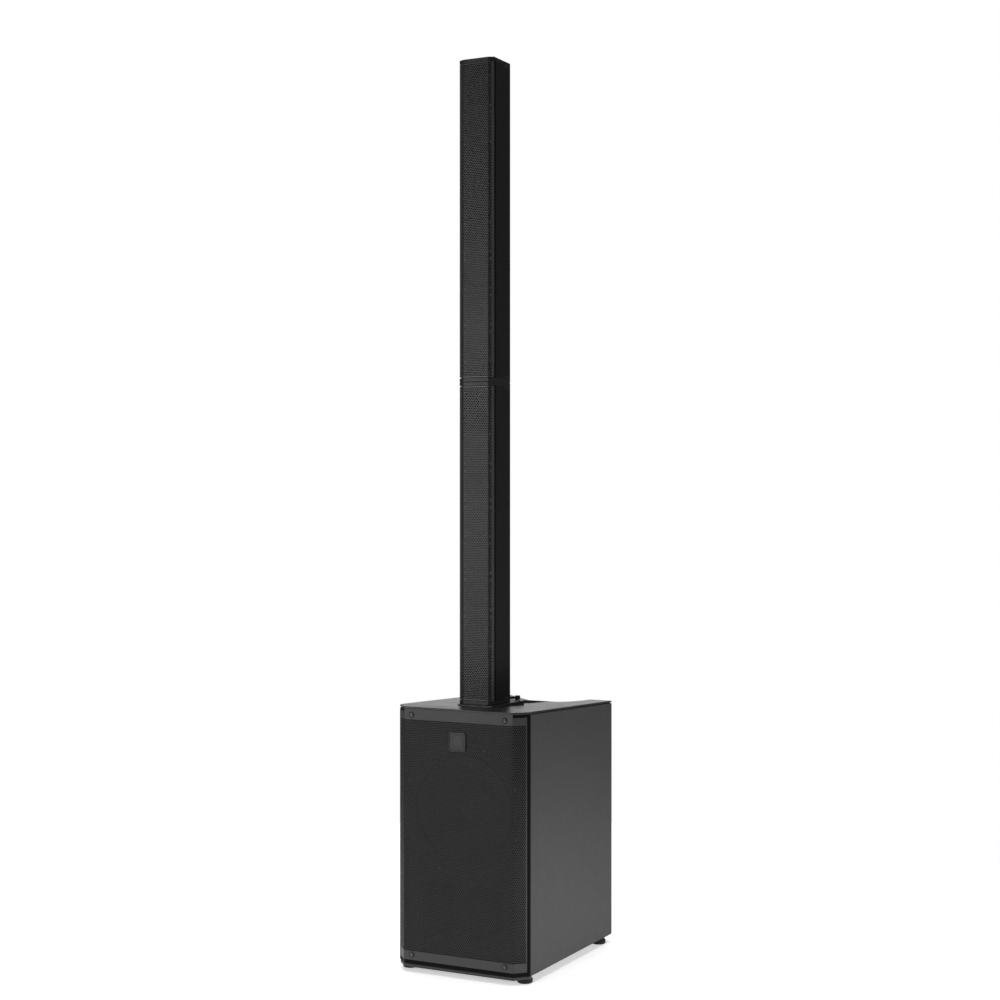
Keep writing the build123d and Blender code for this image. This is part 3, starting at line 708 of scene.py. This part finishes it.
class Look:
    """Node tree of one material, with short calls for the nodes used here."""

    def __init__(self, metallic=0.0, specular=0.5):
        self.material = bpy.data.materials.new("look")
        self.material.use_nodes = True
        self.tree = self.material.node_tree
        self.shader = self.tree.nodes["Principled BSDF"]
        self.shader.inputs["Metallic"].default_value = metallic
        self.shader.inputs["Specular IOR Level"].default_value = specular
        self.place = self.node("ShaderNodeTexCoord").outputs["Object"]
        self.normal = None

    def node(self, kind, **settings):
        made = self.tree.nodes.new(kind)
        for key, value in settings.items():
            setattr(made, key, value)
        return made

    def feed(self, socket, value):
        if isinstance(value, bpy.types.NodeSocket):
            self.tree.links.new(value, socket)
        else:
            socket.default_value = value

    def stretched(self, scale):
        mapping = self.node("ShaderNodeMapping")
        self.feed(mapping.inputs["Vector"], self.place)
        self.feed(mapping.inputs["Scale"], scale)
        return mapping.outputs["Vector"]

    def noise(self, scale, detail=3.0, vector=None, roughness=0.55):
        made = self.node("ShaderNodeTexNoise")
        self.feed(made.inputs["Vector"], vector or self.place)
        self.feed(made.inputs["Scale"], scale)
        self.feed(made.inputs["Detail"], detail)
        self.feed(made.inputs["Roughness"], roughness)
        return made.outputs["Fac"]

    def cells(self, scale, feature="F1"):
        made = self.node("ShaderNodeTexVoronoi", feature=feature)
        self.feed(made.inputs["Vector"], self.place)
        self.feed(made.inputs["Scale"], scale)
        return made.outputs["Distance"]

    def bands(self, scale, direction, distortion=0.0):
        made = self.node("ShaderNodeTexWave", wave_type="BANDS", bands_direction=direction)
        self.feed(made.inputs["Vector"], self.place)
        self.feed(made.inputs["Scale"], scale)
        self.feed(made.inputs["Distortion"], distortion)
        return made.outputs["Fac"]

    def spread(self, value, low, high, out_low, out_high):
        """Value mapped from its own limits to others, and held between them."""
        made = self.node("ShaderNodeMapRange", clamp=True)
        keys = ("Value", "From Min", "From Max", "To Min", "To Max")
        for key, item in zip(keys, (value, low, high, out_low, out_high)):
            self.feed(made.inputs[key], item)
        return made.outputs["Result"]

    def maths(self, operation, first, second):
        made = self.node("ShaderNodeMath", operation=operation)
        self.feed(made.inputs[0], first)
        self.feed(made.inputs[1], second)
        return made.outputs["Value"]

    def sum(self, first, second):
        return self.maths("ADD", first, second)

    def product(self, first, second):
        return self.maths("MULTIPLY", first, second)

    def mix(self, share, first, second):
        made = self.node("ShaderNodeMix", data_type="RGBA")
        self.feed(made.inputs["Factor"], share)
        for place, colour in ((MIX_FIRST, first), (MIX_SECOND, second)):
            ready = colour if isinstance(colour, bpy.types.NodeSocket) else (*colour, 1.0)
            self.feed(made.inputs[place], ready)
        return made.outputs[MIX_RESULT]

    def drift(self, pattern, limits, colour, low, high):
        """Colour that runs from one shade of it to another as the pattern crosses the limits."""
        share = self.spread(pattern, *limits, 0.0, 1.0)
        return self.mix(share, shade(colour, low), shade(colour, high))

    def touched(self, base, pattern, limits, most, colour):
        """Base with up to that much of another colour where the pattern crosses the limits."""
        return self.mix(self.spread(pattern, *limits, 0.0, most), base, colour)

    def dusted(self, base, pattern, limits, most, dust):
        """Base with specks of dust on the faces that look up."""
        share = self.product(self.upward(), self.spread(pattern, *limits, 0.0, most))
        return self.mix(share, base, dust)

    def bump(self, height, depth, strength=1.0):
        made = self.node("ShaderNodeBump")
        self.feed(made.inputs["Height"], height)
        self.feed(made.inputs["Distance"], depth)
        self.feed(made.inputs["Strength"], strength)
        if self.normal:
            self.feed(made.inputs["Normal"], self.normal)
        self.normal = made.outputs["Normal"]

    def soften(self, radius):
        """Rounds the shading of sharp edges."""
        made = self.node("ShaderNodeBevel", samples=4)
        self.feed(made.inputs["Radius"], radius)
        self.normal = made.outputs["Normal"]

    def edge_mask(self, radius):
        """1 along outer and inner edges, 0 on the flats."""
        bevel = self.node("ShaderNodeBevel", samples=4)
        self.feed(bevel.inputs["Radius"], radius)
        sharp, flat = 0.9, 0.995
        dot = self.node("ShaderNodeVectorMath", operation="DOT_PRODUCT")
        self.feed(dot.inputs[0], bevel.outputs["Normal"])
        self.feed(dot.inputs[1], self.node("ShaderNodeNewGeometry").outputs["Normal"])
        return self.spread(dot.outputs["Value"], sharp, flat, 1.0, 0.0)

    def upward(self):
        """1 on faces that look up, where dust settles."""
        parts = self.node("ShaderNodeSeparateXYZ")
        self.feed(parts.inputs[0], self.node("ShaderNodeNewGeometry").outputs["Normal"])
        return self.spread(parts.outputs["Z"], 0.4, 1.0, 0.0, 1.0)

    def finish(self, colour, rough):
        self.feed(self.shader.inputs["Base Color"], colour)
        self.feed(self.shader.inputs["Roughness"], rough)
        if self.normal:
            self.feed(self.shader.inputs["Normal"], self.normal)
        return self.material

    def done(self, colour, pattern, limits, smoothest, roughest):
        """Finished material whose roughness follows a pattern."""
        return self.finish(colour, self.spread(pattern, *limits, smoothest, roughest))


def shade(colour, factor):
    """The colour made darker or lighter."""
    return tuple(min(1.0, c * factor) for c in colour)


def textured_paint(colour, roughness, specular=0.5, grain=900.0, edges=0.6):
    """Fine-pebbled cabinet paint, a little polished along its edges, and lighter there from wear and a
    painted highlight.
    """
    look = Look(specular=specular)
    look.soften(1.2 * MM)
    pebbles = look.cells(grain, "SMOOTH_F1")
    fine = look.noise(grain * 2.2, 2.0)
    broad = look.noise(7.0, 4.0)
    patches = look.noise(45.0, 3.0)
    look.bump(look.sum(pebbles, fine), 0.12 * MM)
    look.bump(patches, 0.25 * MM, 0.35)
    base = look.drift(broad, ONE_NOISE, colour, 0.93, 1.07)
    base = look.touched(base, pebbles, (0.1, 0.6), 0.5, shade(colour, 1.35))
    # Edges lightened in patches: part wear, part painted highlight.
    wear_and_highlight = look.product(look.edge_mask(1.6 * MM), look.spread(patches, 0.45, 0.7, 0.0, edges))
    base = look.mix(wear_and_highlight, base, shade(colour, 2.4))
    base = look.dusted(base, look.noise(160.0, 4.0), (0.5, 0.8), 0.12, DUST)
    return look.done(base, look.sum(broad, patches), TWO_NOISES, roughness - 0.05, roughness + 0.07)


def powder_coat(colour, roughness, specular=0.5, grain=1400.0, depth=0.05, soften=0.6):
    """Powder coat on metal: a fine orange peel and hardly any colour change."""
    look = Look(specular=specular)
    if soften:
        look.soften(soften * MM)
    peel = look.noise(grain, 2.0)
    broad = look.noise(11.0, 3.0)
    look.bump(peel, depth * MM)
    base = look.drift(broad, ONE_NOISE, colour, 0.92, 1.08)
    base = look.touched(base, peel, (0.55, 0.75), 0.35, shade(colour, 1.5))
    return look.done(base, look.sum(broad, peel), TWO_NOISES, roughness - 0.05, roughness + 0.06)


def moulded(colour, roughness, specular=0.5, depth=0.06, edges=0.35):
    """Grained plastic out of an eroded mould, shiny where hands rub its edges, which are lightened by wear
    and a painted highlight.
    """
    look = Look(specular=specular)
    look.soften(0.8 * MM)
    leather = look.cells(1100.0, "DISTANCE_TO_EDGE")
    broad = look.noise(9.0, 3.0)
    scuffs = look.noise(90.0, 5.0, look.stretched((1.0, 0.25, 1.0)))
    look.bump(look.spread(leather, 0.0, 0.25, 0.0, 1.0), depth * MM)
    # Edges lightened all along: part wear, part painted highlight; the same mask also polishes them.
    wear_and_highlight = look.product(look.edge_mask(1.0 * MM), edges)
    base = look.drift(broad, ONE_NOISE, colour, 0.93, 1.07)
    base = look.mix(wear_and_highlight, base, shade(colour, 1.9))
    base = look.touched(base, scuffs, (0.62, 0.8), 0.18, shade(colour, 2.2))
    rough = look.spread(look.sum(broad, scuffs), *TWO_NOISES, roughness - 0.05, roughness + 0.06)
    polish = look.product(wear_and_highlight, -0.12)
    return look.finish(base, look.sum(rough, polish))


def rubber(colour, roughness=0.75, specular=0.35):
    """Soft matt rubber with a little bloom."""
    look = Look(specular=specular)
    look.soften(0.8 * MM)
    fine = look.noise(1800.0, 3.0)
    bloom = look.noise(30.0, 5.0)
    look.bump(fine, 0.05 * MM)
    base = look.touched(colour, bloom, (0.45, 0.75), 0.5, shade(colour, 2.1))
    base = look.dusted(base, look.noise(220.0, 4.0), (0.5, 0.75), 0.15, RUBBER_DUST)
    return look.done(base, bloom, ONE_NOISE, roughness - 0.08, roughness + 0.08)


def metal(colour, roughness):
    """Bare or plated metal with fine drawn lines and faint stains."""
    look = Look(metallic=1.0)
    look.soften(0.35 * MM)
    lines = look.noise(700.0, 3.0, look.stretched((1.0, 1.0, 12.0)))
    stains = look.noise(60.0, 4.0)
    look.bump(lines, 0.02 * MM)
    base = look.drift(stains, (0.35, 0.7), colour, 0.8, 1.1)
    base = look.touched(base, lines, (0.4, 0.7), 0.3, shade(colour, 1.3))
    return look.done(base, look.sum(lines, stains), TWO_NOISES, roughness - 0.08, roughness + 0.1)


def pulp(colour, roughness):
    """Pressed paper cone with matted fibres."""
    look = Look(specular=0.15)
    fibres = look.noise(420.0, 6.0, look.stretched((1.0, 1.0, 2.6)), 0.7)
    cross = look.noise(460.0, 6.0, look.stretched((2.6, 1.0, 1.0)), 0.7)
    felt = look.sum(fibres, cross)
    felt_limits = (0.8, 1.2)
    look.bump(felt, 0.18 * MM)
    broad = look.noise(18.0, 4.0)
    base = look.drift(felt, felt_limits, colour, 0.75, 1.4)
    base = look.touched(base, broad, (0.35, 0.7), 0.4, shade(colour, 1.3))
    return look.done(base, felt, felt_limits, roughness - 0.07, roughness + 0.08)


def plywood(colour):
    """Bare birch ply: long grain and thin plies."""
    look = Look(specular=0.35)
    grain = look.noise(60.0, 6.0, look.stretched((6.0, 6.0, 0.6)))
    plies = look.bands(220.0, "Y", 0.6)
    look.bump(grain, 0.2 * MM)
    base = look.drift(grain, (0.35, 0.65), colour, 0.75, 1.2)
    base = look.touched(base, plies, (0.4, 0.6), 0.25, shade(colour, 0.5))
    return look.done(base, grain, ONE_NOISE, 0.6, 0.8)


def woven(colour):
    """Plain weave of resin-dipped threads."""
    look = Look(specular=0.4)
    threads = 700.0
    weave = look.product(look.bands(threads, "X"), look.bands(threads, "Z"))
    look.bump(weave, 0.3 * MM)
    base = look.drift(weave, (0.1, 0.8), colour, 0.6, 1.3)
    return look.done(base, look.noise(40.0), ONE_NOISE, 0.55, 0.75)


def winding(colour):
    """Close turns of enamelled wire."""
    look = Look(metallic=1.0)
    turns = look.bands(900.0, "Y")
    look.bump(turns, 0.15 * MM)
    base = look.mix(turns, shade(colour, 0.55), shade(colour, 1.15))
    return look.done(base, look.noise(200.0), ONE_NOISE, 0.25, 0.4)


def circuit_board(colour):
    """Solder mask over copper runs, with drilled pads."""
    look = Look()
    bricks = look.node("ShaderNodeTexBrick")
    look.feed(bricks.inputs["Vector"], look.place)
    look.feed(bricks.inputs["Scale"], 90.0)
    look.feed(bricks.inputs["Mortar Size"], 0.03)
    runs = bricks.outputs["Fac"]
    look.bump(runs, 0.08 * MM)
    base = look.mix(runs, colour, shade(colour, 2.0))
    pads = look.spread(look.cells(260.0), 0.08, 0.12, 0.8, 0.0)
    base = look.mix(pads, base, SOLDER)
    return look.done(base, look.noise(80.0), ONE_NOISE, 0.3, 0.45)


def sheet_coat(colour, roughness, specular):
    """Powder coat on perforated sheet, where the edges of the holes stay crisp."""
    return powder_coat(colour, roughness, specular, soften=0)


def grey(value):
    """Dark neutral paint or plastic, a trace cooler than pure grey."""
    return value, value, value * 1.02


def make_materials():
    """Every slot of the record with its own finish: colour and roughness first."""
    materials = {
        "cabinet_paint": textured_paint(grey(0.045), 0.6, specular=0.2),
        "raw_board": plywood((0.45, 0.33, 0.2)),
        # Near-black, darker than any real paint: painted shade for the inside of the cabinet seen through
        # the grille.
        "baffle_paint": textured_paint(grey(0.0025), 0.8, specular=0.08, grain=700.0, edges=0.2),
        "deck_plastic": moulded(grey(0.012), 0.3),
        "cup_plastic": moulded(grey(0.008), 0.55),
        "handle_rubber": rubber(grey(0.012), 0.65),
        # Near-black, darker than any real plastic: painted shade for the recessed rim round the grille.
        "frame_plastic": moulded(grey(0.002), 0.6, specular=0.08),
        "trim_plastic": moulded(grey(0.012), 0.5),
        "foot_rubber": rubber(grey(0.006)),
        # Near-black: painted shade for the ports inside the cabinet.
        "duct_plastic": moulded(grey(0.003), 0.6, specular=0.08),
        "grille_paint": sheet_coat(grey(0.022), 0.45, specular=0.45),
        "screw_steel": metal(grey(0.1), 0.4),
        "badge_metal": powder_coat(grey(0.018), 0.45, specular=0.45, depth=0.02),
        # Near-black: painted shade for the woofer basket inside the cabinet.
        "basket_metal": powder_coat(grey(0.004), 0.6, specular=0.12),
        "motor_steel": metal(grey(0.5), 0.35),
        "ferrite": powder_coat(grey(0.05), 0.6, grain=500.0, depth=0.1),
        "spider_cloth": woven((0.42, 0.27, 0.1)),
        # Near-black: painted shade for the surrounds inside the cabinet and the columns.
        "surround_rubber": rubber(grey(0.003), 0.75, specular=0.1),
        "cone_pulp": pulp(grey(0.006), 0.8),
        "cap_pulp": pulp(grey(0.009), 0.7),
        "coil_copper": winding((0.6, 0.3, 0.15)),
        "panel_paint": powder_coat(grey(0.02), 0.45),
        "heatsink_metal": powder_coat(grey(0.025), 0.42, grain=2200.0, depth=0.02),
        "board_resin": circuit_board((0.02, 0.12, 0.05)),
        "socket_plastic": moulded(grey(0.012), 0.42),
        "rocker_plastic": moulded(grey(0.01), 0.22, depth=0.01),
        "latch_metal": metal(grey(0.45), 0.3),
        "knob_plastic": moulded(grey(0.018), 0.5),
        "button_plastic": moulded(grey(0.09), 0.4, depth=0.02),
        "socket_metal": metal(grey(0.25), 0.45),
        "lever_metal": powder_coat(grey(0.01), 0.4),
        "column_paint": powder_coat(grey(0.011), 0.42, specular=0.2),
        "column_grille_paint": sheet_coat(grey(0.045), 0.42, specular=0.6),
        "cap_plastic": moulded(grey(0.007), 0.42, edges=0.15),
        # Near-black: painted shade for the inside of the columns behind their grilles.
        "driver_baffle_plastic": moulded(grey(0.0025), 0.7, specular=0.08),
        "driver_frame_metal": powder_coat(grey(0.007), 0.6, specular=0.15),
        "driver_cone_pulp": pulp(grey(0.006), 0.7),
    }
    for name, material in materials.items():
        material.name = name
    return materials


def floor_material():
    look = Look()
    look.material.name = "studio_floor"
    look.shader.inputs["Emission Color"].default_value = (1.0, 1.0, 1.0, 1.0)
    look.shader.inputs["Emission Strength"].default_value = FLOOR_GLOW
    broad = look.noise(2.0, 4.0)
    base = look.mix(broad, (0.9, 0.9, 0.9), (0.93, 0.93, 0.93))
    return look.done(base, broad, ONE_NOISE, 0.55, 0.65)


def make_floor():
    """Pale disc, just large enough to catch the shadow under the base."""
    corners = 128
    vertices = [(0.0, 0.0, 0.0)]
    for i in range(corners):
        angle = 2 * math.pi * i / corners
        vertices.append((FLOOR_RADIUS * math.cos(angle), FLOOR_RADIUS * math.sin(angle), 0.0))
    faces = [(0, i + 1, (i + 1) % corners + 1) for i in range(corners)]
    item = mesh_object("floor", vertices, faces)
    item.data.materials.append(floor_material())


def dress_nodes(materials):
    """Each CAD node takes the material of its slot."""
    for part in frame["record"]["subparts"]:
        item = NODES[part["node"]]
        item.data.materials.clear()
        item.data.materials.append(materials[part["material_slot"]])


make_camera()
make_light()
make_floor()
MATERIALS = make_materials()
dress_nodes(MATERIALS)
make_front_grille(MATERIALS["grille_paint"])
make_screws(MATERIALS)
make_badge(MATERIALS["badge_metal"])
make_knob(MATERIALS)
make_panel_details(MATERIALS)
make_woofer(MATERIALS)
for module_name in ("lower", "upper"):
    make_column_grille(module_name, MATERIALS["column_grille_paint"])
    make_drivers(module_name, MATERIALS)
